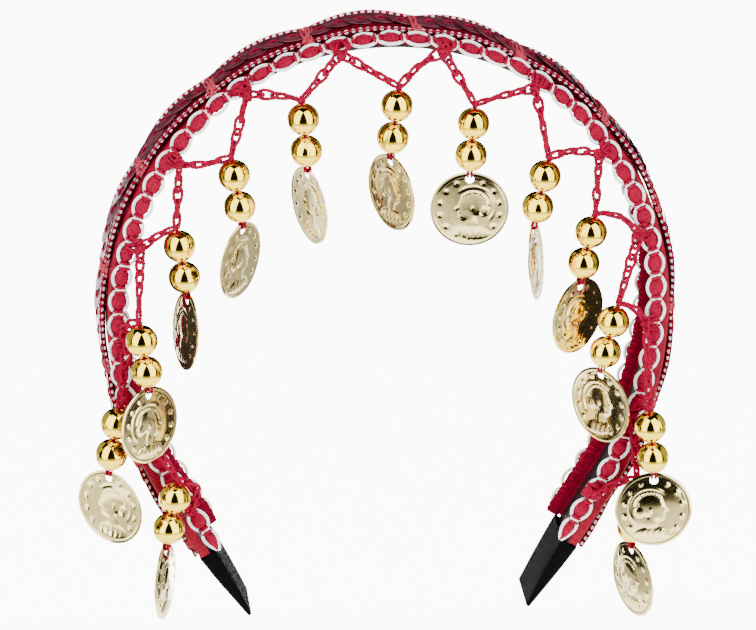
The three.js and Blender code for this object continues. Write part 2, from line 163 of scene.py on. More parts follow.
painted, tree, shader = new_finish("matt_white_studio_floor")
grain = add_node(tree, "ShaderNodeTexNoise", {"Scale": 3.0, "Detail": 2.0})
two_tone(tree, shader, grain.outputs["Fac"], FLOOR_GREY, FLOOR_WHITE)
place = add_node(tree, "ShaderNodeTexCoord")
plan = add_node(tree, "ShaderNodeSeparateXYZ", {"Vector": place.outputs["Object"]})
reach = add_node(tree, "ShaderNodeVectorMath", {0: place.outputs["Object"]}, operation="LENGTH")
off_centre = calculated(tree, "ABSOLUTE", plan.outputs["X"])
under, behind, centred = [
    carried(tree, value, span, glow, interpolation_type="SMOOTHSTEP")
    for value, span, glow in (
        (reach.outputs["Value"], UNDER_FADE, (GLOW_UNDER, 0)),
        (plan.outputs["Y"], BEHIND_FADE, (0, GLOW_BEHIND)),
        (off_centre, BACKDROP_EDGE, (BACKDROP_GLOW / GLOW_BEHIND, 0)),
    )
]
widest = calculated(tree, "MAXIMUM", under, behind)
glow = calculated(tree, "MULTIPLY_ADD", behind, centred, widest)
white = linear(FLOOR_WHITE)
feed(shader, {"Roughness": 0.9, "Emission Color": white, "Emission Strength": glow})

working = bmesh.new()
bmesh.ops.create_circle(working, cap_ends=True, radius=FLOOR_RADIUS, segments=96)
floor_mesh = bpy.data.meshes.new("floor")
working.to_mesh(floor_mesh)
working.free()
floor_mesh.materials.append(painted)
floor = bpy.data.objects.new("floor", floor_mesh)
floor.location = (0, 0, -FLOOR_DROP)
bpy.context.scene.collection.objects.link(floor)

LIGHTS = table(
    "name azimuth elevation wide tall power",
    ("softbox_left", -52, 25, 1.1, 2.6, 54),
    ("softbox_right", 42, 25, 1.1, 2.6, 54),
    ("bounce_left", -117, 12, 1.5, 1.4, 4),
    ("bounce_right", 107, 12, 1.5, 1.4, 4),
)
for row in LIGHTS:
    softbox = bpy.data.lights.new(row["name"], "AREA")
    softbox.shape = "RECTANGLE"
    softbox.size, softbox.size_y = row["wide"], row["tall"]
    softbox.energy = row["power"]
    light = bpy.data.objects.new(row["name"], softbox)
    light.visible_camera = False
    angles = (math.radians(row["azimuth"]), math.radians(row["elevation"]))
    aim(light, seen_from(*angles, LIGHT_DISTANCE))

room = bpy.data.worlds.new("dim_room")
room.use_nodes = True
bpy.context.scene.world = room
feed(room.node_tree.nodes["Background"], {"Color": linear(ROOM_DARK)})


# ---- The band and its black satin wrap ----
# A sprung plastic Alice band, wrapped lengthwise in one strip of black satin ribbon that is glued
# down and laps over itself along the inner face, where the lap stands a little towards the head.
CROWN_RADIUS = 66
CHEEK_RADIUS = 95
CHEEK_TURN = math.radians(32)
CROWN_LENGTH = CROWN_RADIUS * math.pi / 2
CHEEK_LENGTH = CHEEK_RADIUS * CHEEK_TURN
CORE_THICK = 1.4
CORE_HALF_WIDTH = 8.5
CORE_END = 183
RIBBON_WALL = 0.3
WRAP_LAP = 3
WRAP_STEP = 3


def on_band(s, u, v):
    """Points in millimetres at a place on the band. Each of s, u and v may be an array."""
    s, u, v = np.broadcast_arrays(np.asarray(s, float), u, v)
    run = np.abs(s)
    crown = np.minimum(run, CROWN_LENGTH) / CROWN_RADIUS
    cheek = np.clip(run - CROWN_LENGTH, 0, CHEEK_LENGTH) / CHEEK_RADIUS
    straight = np.maximum(run - CROWN_LENGTH - CHEEK_LENGTH, 0)
    x = CROWN_RADIUS * np.sin(crown) - CHEEK_RADIUS * (1 - np.cos(cheek))
    z = CROWN_RADIUS * (np.cos(crown) - 1) - CHEEK_RADIUS * np.sin(cheek)
    x = x - straight * np.sin(cheek) + u * np.sin(crown + cheek)
    z = z - straight * np.cos(cheek) + u * np.cos(crown + cheek)
    return np.stack([np.sign(s) * x, v, z], -1)


def even(low, high, step):
    """Even places from low to high, about one step apart."""
    return np.linspace(low, high, max(int(round((high - low) / step)), 1) + 1)


def unit(vectors):
    return vectors / np.linalg.norm(vectors, axis=-1, keepdims=True)


def run_along(points):
    """How far along a line of points each one lies."""
    steps = np.linalg.norm(np.diff(points, axis=0), axis=1)
    return np.concatenate([[0], steps.cumsum()])


def cloth(stations, line, wall):
    """A strip of cloth along the band. line(s) gives its section as rows of (v, u)."""
    rings = []
    for s in stations:
        rows = np.asarray(line(s), float)
        ahead = unit(np.gradient(rows, axis=0))
        off = np.stack([-ahead[:, 1], ahead[:, 0]], -1) * wall / 2
        ring = np.concatenate([rows + off, (rows - off)[::-1]])
        rings.append(on_band(s, ring[:, 1], ring[:, 0]))
    across = run_along(rows)
    across = np.concatenate([across, across[::-1]])
    count = len(across)
    uv = np.stack(np.meshgrid(across, stations), -1).reshape(-1, 2)
    start = np.arange(len(stations) - 1)[:, None] * count
    here = np.arange(count)
    beside = (here + 1) % count
    walls = np.stack(np.broadcast_arrays(start + here, start + beside), -1)
    walls = np.concatenate([walls, walls[..., ::-1] + count], -1).reshape(-1, 4)
    pairs = np.arange(count // 2 - 1)
    end = np.stack([pairs, pairs + 1, count - 2 - pairs, count - 1 - pairs], -1)
    far = end[:, ::-1] + (len(stations) - 1) * count
    return np.concatenate(rings), [walls, end, far], uv


def piece(name, shapes, finish, body="band", sharp=45):
    """One object made of closed shapes, each (points in mm, arrays of faces, uv in mm or None)."""
    points = np.concatenate([shape[0] for shape in shapes]) * MM
    faces = []
    start = 0
    for shape in shapes:
        for rows in shape[1]:
            faces += (rows + start).tolist()
        start += len(shape[0])
    mesh = bpy.data.meshes.new(name)
    mesh.from_pydata(points.tolist(), [], faces)
    working = bmesh.new()
    working.from_mesh(mesh)
    bmesh.ops.recalc_face_normals(working, faces=working.faces)
    working.to_mesh(mesh)
    working.free()
    if shapes[0][2] is not None:
        uv = np.concatenate([shape[2] for shape in shapes])
        corners = np.empty(len(mesh.loops), np.int32)
        mesh.loops.foreach_get("vertex_index", corners)
        mesh.uv_layers.new(name="cloth_mm").data.foreach_set("uv", uv[corners].ravel())
    mesh.shade_smooth()
    mesh.set_sharp_from_angle(angle=math.radians(sharp))
    mesh.materials.append(finish)
    made = bpy.data.objects.new(name, mesh)
    bpy.context.scene.collection.objects.link(made)
    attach(made, body)
    return made


def raise_by(tree, shader, height, strength, millimetres):
    inputs = {"Height": height, "Strength": strength, "Distance": millimetres * MM}
    raised = add_node(tree, "ShaderNodeBump", inputs)
    feed(shader, {"Normal": raised.outputs["Normal"]})


def satin(name, face, shade, rib_mm, depth, gloss, shine):
    """Polyester satin: long floats give a soft sheen along the ribbon, over fine crosswise ribs."""
    material, tree, shader = new_finish(name)
    place = add_node(tree, "ShaderNodeUVMap", uv_map="cloth_mm")
    # The real weave is about 0.1 mm. The ribs are drawn coarser, so that they show.
    ribs = add_node(
        tree,
        "ShaderNodeTexWave",
        {"Vector": place.outputs["UV"], "Scale": 1 / rib_mm / 2, "Distortion": 1.5, "Detail": 2.0},
        bands_direction="Y",
    )
    slubs = add_node(
        tree,
        "ShaderNodeTexNoise",
        {"Vector": place.outputs["UV"], "Scale": 0.9, "Detail": 5.0, "Roughness": 0.65},
    )
    two_tone(tree, shader, slubs.outputs["Fac"], shade, face, (0.3, 0.7))
    both = calculated(tree, "ADD", ribs.outputs["Fac"], slubs.outputs["Fac"])
    raise_by(tree, shader, both, depth, 0.1)
    feed(shader, {"Roughness": gloss, "Specular IOR Level": shine})
    feed(shader, {"Sheen Weight": 0.05, "Sheen Roughness": 0.4, "Sheen Tint": linear(face)})
    return material


def wrap_section(s):
    """From the lap on the inner face, round one edge, over the outside, and back under the lap."""
    inset = RIBBON_WALL / 2
    radius = CORE_THICK / 2 - inset
    out = CORE_HALF_WIDTH - CORE_THICK / 2
    turn = np.radians(np.linspace(-90, 90, 7))
    front = [(-out - radius * math.cos(a), CORE_THICK / 2 + radius * math.sin(a)) for a in turn]
    back = [(-v, u) for v, u in front[::-1]]
    lap = [(v, -RIBBON_WALL) for v in (WRAP_LAP, 0, -WRAP_LAP)]
    outside = [(v, CORE_THICK - inset) for v in (-4, 4)]
    return [*lap, (-WRAP_LAP - 1, inset), *front, *outside, *back, (0, inset)]


black_satin = satin("black_polyester_satin_ribbon", "#0F0F12", "#070709", 0.6, 0.5, 0.42, 0.3)
wrap = piece(
    "black_satin_wrap",
    [cloth(even(-CORE_END, CORE_END, WRAP_STEP), wrap_section, RIBBON_WALL)],
    black_satin,
)
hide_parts("band_core")


# ---- The red satin cover ----
# One strip of ruby satin stretched over the outside of the band, turned over both edges and glued,
# so that only a narrow ledge of it shows between the trims.
SEAM_GAP = 0.3
COVER_WALL = 1
COVER_TOP = CORE_THICK + SEAM_GAP + COVER_WALL
COVER_HALF_WIDTH = CORE_HALF_WIDTH + SEAM_GAP + COVER_WALL
COVER_CLOTH = 0.5
COVER_EASE = 0.7
TRIM_HALF_LENGTH = 170.4
COVER_HEM_AT_CROWN = 1.3
COVER_HEM_AT_SIDE = 0
PUCKER = 0.09
PUCKER_PITCH = 7.3


def from_crown_to_side(s, at_crown, at_side):
    """A measure that changes evenly along the crown's arc and then stays the same."""
    return at_crown + (at_side - at_crown) * np.minimum(np.abs(s) / CROWN_LENGTH, 1)


def along_trim(step, inset=0):
    """Even stations from one end of the trims to the other."""
    return even(inset - TRIM_HALF_LENGTH, TRIM_HALF_LENGTH - inset, step)


def cover_section(s):
    """From one hem over the outside to the other, with a slight pucker along it."""
    hem = from_crown_to_side(s, COVER_HEM_AT_CROWN, COVER_HEM_AT_SIDE)
    out = COVER_HALF_WIDTH - COVER_CLOTH / 2
    top = COVER_TOP - COVER_CLOTH / 2
    turn = np.radians(np.linspace(0, 90, 6))
    pull = PUCKER * math.sin(2 * math.pi * s / PUCKER_PITCH)
    bend = [(COVER_EASE * (math.cos(a) - 1), COVER_EASE * (math.sin(a) - 1)) for a in turn]
    edge = [(out + v, top + u) for v, u in bend]
    right = [(out, hem), *edge, (out - 3, top + pull), (out - 6, top - pull)]
    return right + [(-v, u) for v, u in right[::-1]]


ruby_satin = satin("ruby_polyester_satin", "#940028", "#600012", 0.7, 0.45, 0.5, 0.1)
cover = piece("ruby_satin_cover", [cloth(along_trim(1.2), cover_section, COVER_CLOTH)], ruby_satin)
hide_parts("satin_cover")


# ---- The scalloped ribbon ----
# A soft red ribbon drawn in by a knot between each two scallops, so it puffs up and out between
# the knots and gathers into small folds beside them.
SCALLOP_PITCH = 24.8
FIRST_KNOT = 6.5
KNOT_HALF_WIDTH = 5.6
SWELL_WIDTH = 1.7
SWELL_HEIGHT_AT_CROWN = 1.2
SWELL_HEIGHT_AT_SIDE = 0.5
CORD_RADIUS = 0.55
STRIP_SEAT = COVER_TOP + SEAM_GAP
STRIP_CLOTH = 0.35
GATHERS = 5
GATHER_DEPTH = 0.3
TURNED_UNDER = 0.5
RIBBON_RISE = 0.75


def swell_at(s):
    """How far the strip has swollen at s, from 0 at a knot to 1 midway between knots."""
    return np.abs(np.sin(math.pi * (np.asarray(s) - FIRST_KNOT) / SCALLOP_PITCH))


def swell_height(s):
    return from_crown_to_side(s, SWELL_HEIGHT_AT_CROWN, SWELL_HEIGHT_AT_SIDE) * swell_at(s)


def cord_place(s):
    """v and u of a picot cord's middle."""
    across = KNOT_HALF_WIDTH + SWELL_WIDTH * swell_at(s)
    return across, STRIP_SEAT + CORD_RADIUS + swell_height(s)


def strip_top(s):
    """u of the ribbon's upper face along its middle."""
    return STRIP_SEAT + RIBBON_RISE + swell_height(s)


def strip_section(s):
    """An arch between the two cords, folded beside a knot, its edges turned down to the cover."""
    edge, low = cord_place(s)
    half = edge - CORD_RADIUS
    share = np.linspace(-1, 1, 33)
    crown = strip_top(s) - STRIP_CLOTH / 2 - low
    drawn = (1 - float(swell_at(s))) ** 1.6
    folds = GATHER_DEPTH * drawn * np.cos(math.pi * GATHERS * share + 0.5 * math.sin(0.9 * s))
    arch = np.stack([share * half, low + crown * (1 - share**2) ** 0.5 + folds], -1)
    seam = half - TURNED_UNDER, STRIP_SEAT + STRIP_CLOTH / 2
    return np.concatenate([[(-seam[0], seam[1])], arch, [seam]])


# The ribbon's colours are the red satin darkened to maroon: painted shade for the shadow it lies in under the sequins
# and cords.
ribbon_satin_with_painted_shade = satin("red_satin_ribbon_darkened_as_painted_shade", "#6A0018", "#380008", 0.8, 0.5, 0.42, 0.15)
strip = piece("scallop_ribbon", [cloth(along_trim(0.9), strip_section, STRIP_CLOTH)], ribbon_satin_with_painted_shade)
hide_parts("scallop_strip")


# ---- Sequins ----
# Five flat round sequins of dark maroon film lie like shingles down the middle of each scallop,
# each held by one crimson stitch through its hole.
SEQUIN_RADIUS = 4.0
SEQUIN_THICK = 0.14
SEQUIN_HOLE = 0.45
SEQUIN_PITCH = 4.6
SEQUINS_A_SCALLOP = 5
SEQUIN_PROUD = 0.42
SHINGLE = math.radians(6)
STITCH_RADIUS = 0.24
STITCH_REACH = 1.5
PLY_DEPTH = 0.16
rng = np.random.default_rng(24)


def band_axes(s):
    """Unit vectors along the band, outwards from it and across it, for an array of places."""
    s = np.asarray(s, float)
    along = unit(on_band(s + 0.05, 0, 0) - on_band(s - 0.05, 0, 0))
    outward = np.stack([-along[..., 2], 0 * s, along[..., 0]], -1)
    across = np.broadcast_to([0.0, 1.0, 0.0], along.shape)
    return along, outward, across


def copies(shape, places, xs, ys, zs):
    """One copy of a shape at each place, with the shape's own axes laid along xs, ys and zs."""
    points, faces, _ = shape
    laid = np.stack([xs, ys, zs], 1)
    moved = np.einsum("pa,kab->kpb", points, laid) + places[:, None]
    start = np.arange(len(places))[:, None, None] * len(points)
    joined = [(rows[None] + start).reshape(-1, rows.shape[1]) for rows in faces]
    return moved.reshape(-1, 3), joined, None


def whole_turn(sides):
    return 2 * math.pi * np.arange(sides) / sides


def skin(rings, closed=False):
    """A shape over rings of points, with a flat face on each end unless it closes on itself."""
    count, sides = rings.shape[:2]
    a = np.arange(count)[:, None] * sides + np.arange(sides)
    b = np.roll(a, -1, 0)
    quads = np.stack([a, np.roll(a, -1, 1), np.roll(b, -1, 1), b], -1)
    if closed:
        return rings.reshape(-1, 3), [quads.reshape(-1, 4)], None
    ends = np.array([a[0][::-1], a[-1]])
    return rings.reshape(-1, 3), [quads[:-1].reshape(-1, 4), ends], None


def lathe(profile, angles):
    """A closed ring of profile rows (radius, height) turned round Z. It has no end faces."""
    radius, height = np.asarray(profile, float).T[..., None]
    rings = np.broadcast_arrays(radius * np.cos(angles), radius * np.sin(angles), height)
    return skin(np.stack(rings, -1), closed=True)


def tube(path, radius, sides, closed=False, plies=0, lay=1.6):
    """Yarn along a path. Its plies stand up as ridges that wind once in every lay millimetres."""
    path = np.asarray(path, float)
    count = len(path)
    step = np.roll(path, -1, 0) - np.roll(path, 1, 0) if closed else np.gradient(path, axis=0)
    ahead = unit(step)
    normal = np.empty_like(path)
    normal[0] = unit(np.cross(ahead[0], (0.31, 0.87, 0.38)))
    for i in range(1, count):
        side = normal[i - 1] - ahead[i] * (normal[i - 1] @ ahead[i])
        normal[i] = side / math.sqrt(side @ side)
    run = run_along(path)
    twist = np.zeros(count)
    if closed:
        home = normal[-1] - ahead[0] * (normal[-1] @ ahead[0])
        off = math.atan2(np.cross(home, normal[0]) @ ahead[0], home @ normal[0])
        twist = off * np.arange(count) / count
        whole = run[-1] + np.linalg.norm(path[0] - path[-1])
        lay = whole / max(round(whole / lay), 1)
    other = np.cross(ahead, normal)
    angle = whole_turn(sides) + twist[:, None]
    ridge = 1 + PLY_DEPTH * np.cos(plies * (angle - 2 * math.pi * run[:, None] / lay)) if plies else 1
    reach = (np.broadcast_to(radius, count)[:, None] * ridge)[..., None]
    around = np.cos(angle)[..., None] * normal[:, None] + np.sin(angle)[..., None] * other[:, None]
    points = path[:, None] + reach * around
    return skin(points, closed)


def smooth(corners, steps):
    """A smooth path through corner points, with steps places between each two."""
    corners = np.asarray(corners, float)
    padded = np.concatenate([corners[:1], corners, corners[-1:]])
    t = np.arange(steps)[:, None] / steps
    path = []
    for a, b, c, d in zip(padded, padded[1:], padded[2:], padded[3:]):
        cubic = (3 * (b - c) + d - a) * t**3 + (2 * a - 5 * b + 4 * c - d) * t**2
        path.append((cubic + (c - a) * t) / 2 + b)
    return np.concatenate([*path, corners[-1:]])


first_scallop = math.ceil((-TRIM_HALF_LENGTH - FIRST_KNOT) / SCALLOP_PITCH)
knots = FIRST_KNOT + SCALLOP_PITCH * np.arange(first_scallop, 7)
middles = np.concatenate([knots, knots[-1:] + SCALLOP_PITCH]) - SCALLOP_PITCH / 2
spread = (np.arange(SEQUINS_A_SCALLOP) - (SEQUINS_A_SCALLOP - 1) / 2) * SEQUIN_PITCH
sequin_places = (middles[:, None] + spread).ravel()
sequin_places = sequin_places[np.abs(sequin_places) < TRIM_HALF_LENGTH - SEQUIN_RADIUS + 1]
along, outward, across = band_axes(sequin_places)
slope = (strip_top(sequin_places + 1) - strip_top(sequin_places - 1)) / 2
tilt = np.arctan(slope) * 0.8 - SHINGLE + rng.uniform(-0.03, 0.03, len(slope))
roll = rng.uniform(-0.09, 0.09, len(slope))
level = along * np.cos(tilt)[:, None] + outward * np.sin(tilt)[:, None]
face = outward * np.cos(tilt)[:, None] - along * np.sin(tilt)[:, None]
sideways = across * np.cos(roll)[:, None] + face * np.sin(roll)[:, None]
crossed = np.cross(level, sideways)
face = crossed * np.sign(np.einsum("ka,ka->k", crossed, face))[:, None]
shift = rng.uniform(-0.5, 0.5, len(slope))
centre = on_band(sequin_places, strip_top(sequin_places) + SEQUIN_PROUD, shift)
half = SEQUIN_THICK / 2
edge = SEQUIN_RADIUS - 0.05
under_face = [(SEQUIN_HOLE, -half), (edge, -half), (SEQUIN_RADIUS, 0)]
upper_face = [(edge, half), (SEQUIN_RADIUS * 0.7, half), (SEQUIN_HOLE, half)]
disc = lathe(under_face + upper_face, whole_turn(40))


def mottle(tree, patch_mm, detail, **inputs):
    """Noise that is fixed to its piece, in patches of a real size."""
    place = add_node(tree, "ShaderNodeTexCoord")
    inputs |= {"Vector": place.outputs["Object"], "Scale": 1 / (patch_mm * MM), "Detail": detail}
    return add_node(tree, "ShaderNodeTexNoise", inputs).outputs["Fac"]


def uneven_gloss(tree, shader, factor, low, high):
    feed(shader, {"Roughness": carried(tree, factor, (0, 1), (low, high))})


sequin_film, tree, shader = new_finish("maroon_pet_sequin_film")
# Vacuum-metallised film under a dark lacquer: a satin mirror. Its paler patches, set at random, are painted
# highlight, and the film is rougher where they lie.
painted_highlight_and_roughness = mottle(tree, 2.5, 4.0)
# The paler of the two tones is painted highlight.
two_tone(tree, shader, painted_highlight_and_roughness, "#55202C", "#7C3F4D", (0.35, 0.65))
uneven_gloss(tree, shader, painted_highlight_and_roughness, 0.22, 0.38)
feed(shader, {"Metallic": 0.4, "Specular IOR Level": 0.25})
sequins = piece("sequins", [copies(disc, centre, level, sideways, face)], sequin_film)


def spun_yarn(name, pale, dark, fuzz_mm, gloss):
    """Soft spun yarn: matt, with a velvety rim of loose fibre. Random darker patches in its colour are painted shade
    for the hollows between plies.
    """
    material, tree, shader = new_finish(name)
    fuzz_and_painted_shade = mottle(tree, fuzz_mm, 6.0, Roughness=0.7)
    # The darker tone is painted shade for the hollows between plies; the same noise also raises the fuzz.
    two_tone(tree, shader, fuzz_and_painted_shade, dark, pale, (0.32, 0.58))
    raise_by(tree, shader, fuzz_and_painted_shade, 0.8, 0.12)
    feed(shader, {"Roughness": gloss, "Specular IOR Level": 0.1})
    feed(shader, {"Sheen Weight": 0.08, "Sheen Roughness": 0.5, "Sheen Tint": linear(pale)})
    return material


crimson_yarn = spun_yarn("crimson_acrylic_yarn", "#92002B", "#58001A", 0.5, 0.85)
stitches = []
over = [(-STITCH_REACH, -0.1), (-0.5, 0.3), (0.5, 0.3), (STITCH_REACH, -0.1)]
for spot, run, up in zip(centre, level, face):
    ends = [spot + run * ahead + up * high for ahead, high in over]
    stitches.append(tube(smooth(ends, 4), STITCH_RADIUS, 6, plies=2, lay=1.2))
stitching = piece("sequin_stitches", stitches, crimson_yarn)


# ---- Picot cords ----
# A thin cord bound in turn with white metallic thread and with crimson thread runs down each edge
# of the ribbon, so white beads of thread alternate with narrow red rings, like a ladder. A crimson
# selvage thread wavers along its outer side.
PICOT_PITCH = 1.6
PICOT_CORE = 0.4
WHITE_HALF_LENGTH = 0.66
WHITE_RADIUS = 0.55
RED_RING_RADIUS = 0.45
RED_RING_HALF_LENGTH = 0.3
SELVAGE_RADIUS = 0.2
SELVAGE_OUT = 0.5
SELVAGE_UP = 0.28


def ball(rings, sides):
    """A unit ball with its poles along X."""
    rows = [(max(math.sin(a), 1e-3), -math.cos(a)) for a in np.linspace(0, math.pi, rings + 1)]
    points, faces, _ = lathe(rows, whole_turn(sides))
    quads = faces[0][:-sides]
    count = len(points)
    ends = np.array([np.arange(sides), np.arange(count - sides, count)[::-1]])
    return points[:, [2, 0, 1]], [quads, ends], None


white_thread, tree, shader = new_finish("white_metallic_thread")
# Flat silvery film wound round a white core: bright, with fine grey patches that are painted shade for the grooves
# between the turns.
turns = mottle(tree, 0.5, 3.0)
# The grey tone is painted shade for the grooves between the turns.
two_tone(tree, shader, turns, "#D2CFCE", "#FEFDFC", (0.3, 0.5))
raise_by(tree, shader, turns, 0.4, 0.1)
feed(shader, {"Metallic": 0.1, "Roughness": 0.4})

thread_bead = ball(6, 8)
for name, side in (("picot_cord_front", -1), ("picot_cord_back", 1)):
    stations = along_trim(0.8)
    v, u = cord_place(stations)
    core = tube(on_band(stations, u, side * v), PICOT_CORE, 6)
    waver = 0.08 * np.sin(4.1 * stations) + 0.05 * np.sin(9.7 * stations)
    edge = on_band(stations, u + SELVAGE_UP, side * (v + SELVAGE_OUT + waver))
    selvage = tube(edge, SELVAGE_RADIUS, 6)
    places = along_trim(PICOT_PITCH, inset=PICOT_PITCH / 2)
    v, u = cord_place(places)
    middle = on_band(places, u, side * v)
    v, u = cord_place(places + 0.1)
    ahead = unit(on_band(places + 0.1, u, side * v) - middle)
    outward = band_axes(places)[1]
    outward = unit(outward - ahead * np.einsum("ka,ka->k", ahead, outward)[:, None])
    sideways = np.cross(ahead, outward)
    jitter = rng.uniform(0.9, 1.08, (len(places), 1))
    whites, reds = [
        copies(thread_bead, spots, ahead * long * size, outward * radius * size, sideways * radius)
        for spots, long, radius, size in (
            (middle, WHITE_HALF_LENGTH, WHITE_RADIUS, jitter),
            (middle + ahead * PICOT_PITCH / 2, RED_RING_HALF_LENGTH, RED_RING_RADIUS, 1),
        )
    ]
    bound = piece(name + "_red", [core, reds, selvage], crimson_yarn)
    wound = piece(name + "_white", [whites], white_thread)
    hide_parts(name)


# ---- Knots between the scallops ----
# Turns of loose thread bind the ribbon and both cords down at each knot. The thread is coloured
# salmon, a crimson paled as painted highlight.
KNOT_STRANDS = 8
KNOT_HALF_LENGTH = 0.9
KNOT_REACH = KNOT_HALF_WIDTH + 0.75
KNOT_LOW = STRIP_SEAT + 0.1
KNOT_HIGH = 1.25
KNOT_THREAD_RADIUS = 0.27
STRAND_SLANT = 2.6
STRAND_WAVER = 1.4
# Salmon, paler than the crimson yarn, as painted highlight.
binding_thread_with_painted_highlight = spun_yarn("binding_thread_paled_as_painted_highlight", "#BC4254", "#800E24", 0.35, 0.8)
turns = np.linspace(0, math.pi, 19)
bindings = []
for knot in knots[np.abs(knots) < TRIM_HALF_LENGTH - 1]:
    for strand in range(KNOT_STRANDS):
        share = (strand + 0.5) / KNOT_STRANDS * 2 - 1
        wander = rng.uniform(-0.5, 0.5, 3)
        s = knot + KNOT_HALF_LENGTH * share + STRAND_SLANT * wander[0] * np.cos(turns)
        s += STRAND_WAVER * wander[1] * np.sin(3 * turns)
        high = KNOT_HIGH + 0.3 * (1 - share**2) + wander[2] * 0.4
        u = KNOT_LOW + high * np.sin(turns) ** 0.45
        strand_path = on_band(s, u, -KNOT_REACH * np.cos(turns))
        bindings.append(tube(strand_path, KNOT_THREAD_RADIUS, 6, plies=2, lay=1.1))
knotting = piece("scallop_knots", bindings, binding_thread_with_painted_highlight)


# ---- Gimp braids ----
# A braid along each edge of the band: padded crimson ovals of fuzzy yarn on a core thread, bound
# tight between two, with two white metallic cords that bow round each oval and cross where it is
# bound. The back braid is bedded on a fill of yarn, which shows from inside the band. The fill is
# coloured a darker copy of the crimson yarn, as painted shade for the shadow inside the band.
OVAL_PITCH = 6.1
OVAL_HALF_LENGTH = 2.55
OVAL_HALF_WIDTH = 1.7
OVAL_HALF_THICK = 0.95
GIMP_CORD_BOW = 2.2
GIMP_CORD_RADIUS = 0.42
GIMP_CORD_PROUD = 0.1
GIMP_CORD_CROSSING = 0.15
GIMP_NECK_RADIUS = 0.6
BINDING_RADIUS = 0.8
BINDING_YARN_RADIUS = 0.34
BINDING_OFFSET = 0.66
BACKING_HALF_WIDTH = 1.9
BACKING_SHIFT = 0.5
BACKING_DEPTH = 0.5
BACKING_TUCK = 0.8
GIMP_CORD_STEP = 0.42
OVAL_FUZZ = 0.24
OVAL_POINT = 0.12
FRONT_GIMP_SEAT = table(
    "s u v tilt",
    (-171, -2.5, -10.97, 4),
    (-148, -2.3, -10.97, 4),
    (-135, -0.8, -10.97, 4),
    (-122, 0.8, -10.97, 5),
    (-105, 0.2, -10.97, 5),
    (-88, -0.2, -10.97, 6),
    (-66, 0.6, -11.3, 18),
    (-50, 1.7, -11.9, 38),
    (-30, 2.8, -12, 56),
    (0, 3.5, -11.8, 65),
    (30, 2.8, -12, 54),
    (50, 1.2, -11.8, 30),
    (66, 0, -11.1, 12),
    (88, -0.3, -10.97, 5),
    (103, -0.9, -10.97, 4),
    (120, -1.4, -10.97, 4),
    (148, -1.8, -10.97, 4),
    (171, -2.5, -10.97, 4),
)
BACK_GIMP_SEAT = table(
    "s u v tilt",
    (-171, -2, 10.97, -4),
    (-105, -0.8, 10.97, -4),
    (-60, 0, 10.97, -4),
    (0, 0.3, 10.97, -4),
    (60, 0, 10.97, -4),
    (105, -0.8, 10.97, -4),
    (171, -2, 10.97, -4),
)


def column(seat, name, s):
    """A column of a table, read between its rows at s."""
    return np.interp(s, [row["s"] for row in seat], [row[name] for row in seat])


def on_gimp(seat, s, across, through):
    """A point on a braid: across runs over its width, and through out of its face."""
    tilt = np.radians(column(seat, "tilt", s))
    v = column(seat, "v", s) + across * np.sin(tilt) - through * np.cos(tilt)
    u = column(seat, "u", s) + across * np.cos(tilt) + through * np.sin(tilt)
    return on_band(s, u, v)


def drawn_in(s, ahead):
    """How much of its width a braid keeps near its cut ends, where it is tucked in."""
    return np.clip((TRIM_HALF_LENGTH + ahead - np.abs(s)) / 10, 0.4, 1)


def fuzzy_oval(seed):
    """One padded oval, its surface roughened by the loops of its yarn."""
    points, faces, _ = ball(16, 22)
    rough, fine = [
        np.array([noise.noise(Vector(p * grain + shift)) for p in points])
        for grain, shift in (((5, 3.2, 2.2), (seed * 7.1, 0, 0)), ((14, 9, 6), (0, seed * 3.3, 0)))
    ]
    points[:, 1:] *= np.maximum(1 - points[:, :1] ** 2, 0.02) ** OVAL_POINT
    return points * (1 + OVAL_FUZZ * (rough + 0.6 * fine))[:, None], faces, None


def backing(seat):
    """The matted fibre that fills the width of the back braid and beds it against the band."""
    stations = along_trim(0.7, inset=-BACKING_TUCK)[:, None]
    turn = whole_turn(14)
    rough = rng.uniform(0.85, 1.1, (len(stations), 14)) * drawn_in(stations, 9)
    across = BACKING_SHIFT + BACKING_HALF_WIDTH * np.cos(turn) * rough
    through = BACKING_DEPTH * (1 + np.sin(turn) * rough)
    return skin(on_gimp(seat, stations, across, through))


round_yarn = [
    (BINDING_RADIUS + BINDING_YARN_RADIUS * math.cos(a), BINDING_YARN_RADIUS * math.sin(a))
    for a in np.linspace(0, 2 * math.pi, 7)[:-1]
]
binding = lathe(round_yarn, whole_turn(10))
OVAL_KINDS = 6
oval_kinds = [fuzzy_oval(kind) for kind in range(OVAL_KINDS)]
oval_count = int(2 * TRIM_HALF_LENGTH // OVAL_PITCH)
oval_step = 2 * TRIM_HALF_LENGTH / oval_count
oval_places = -TRIM_HALF_LENGTH + oval_step * (np.arange(oval_count) + 0.5)
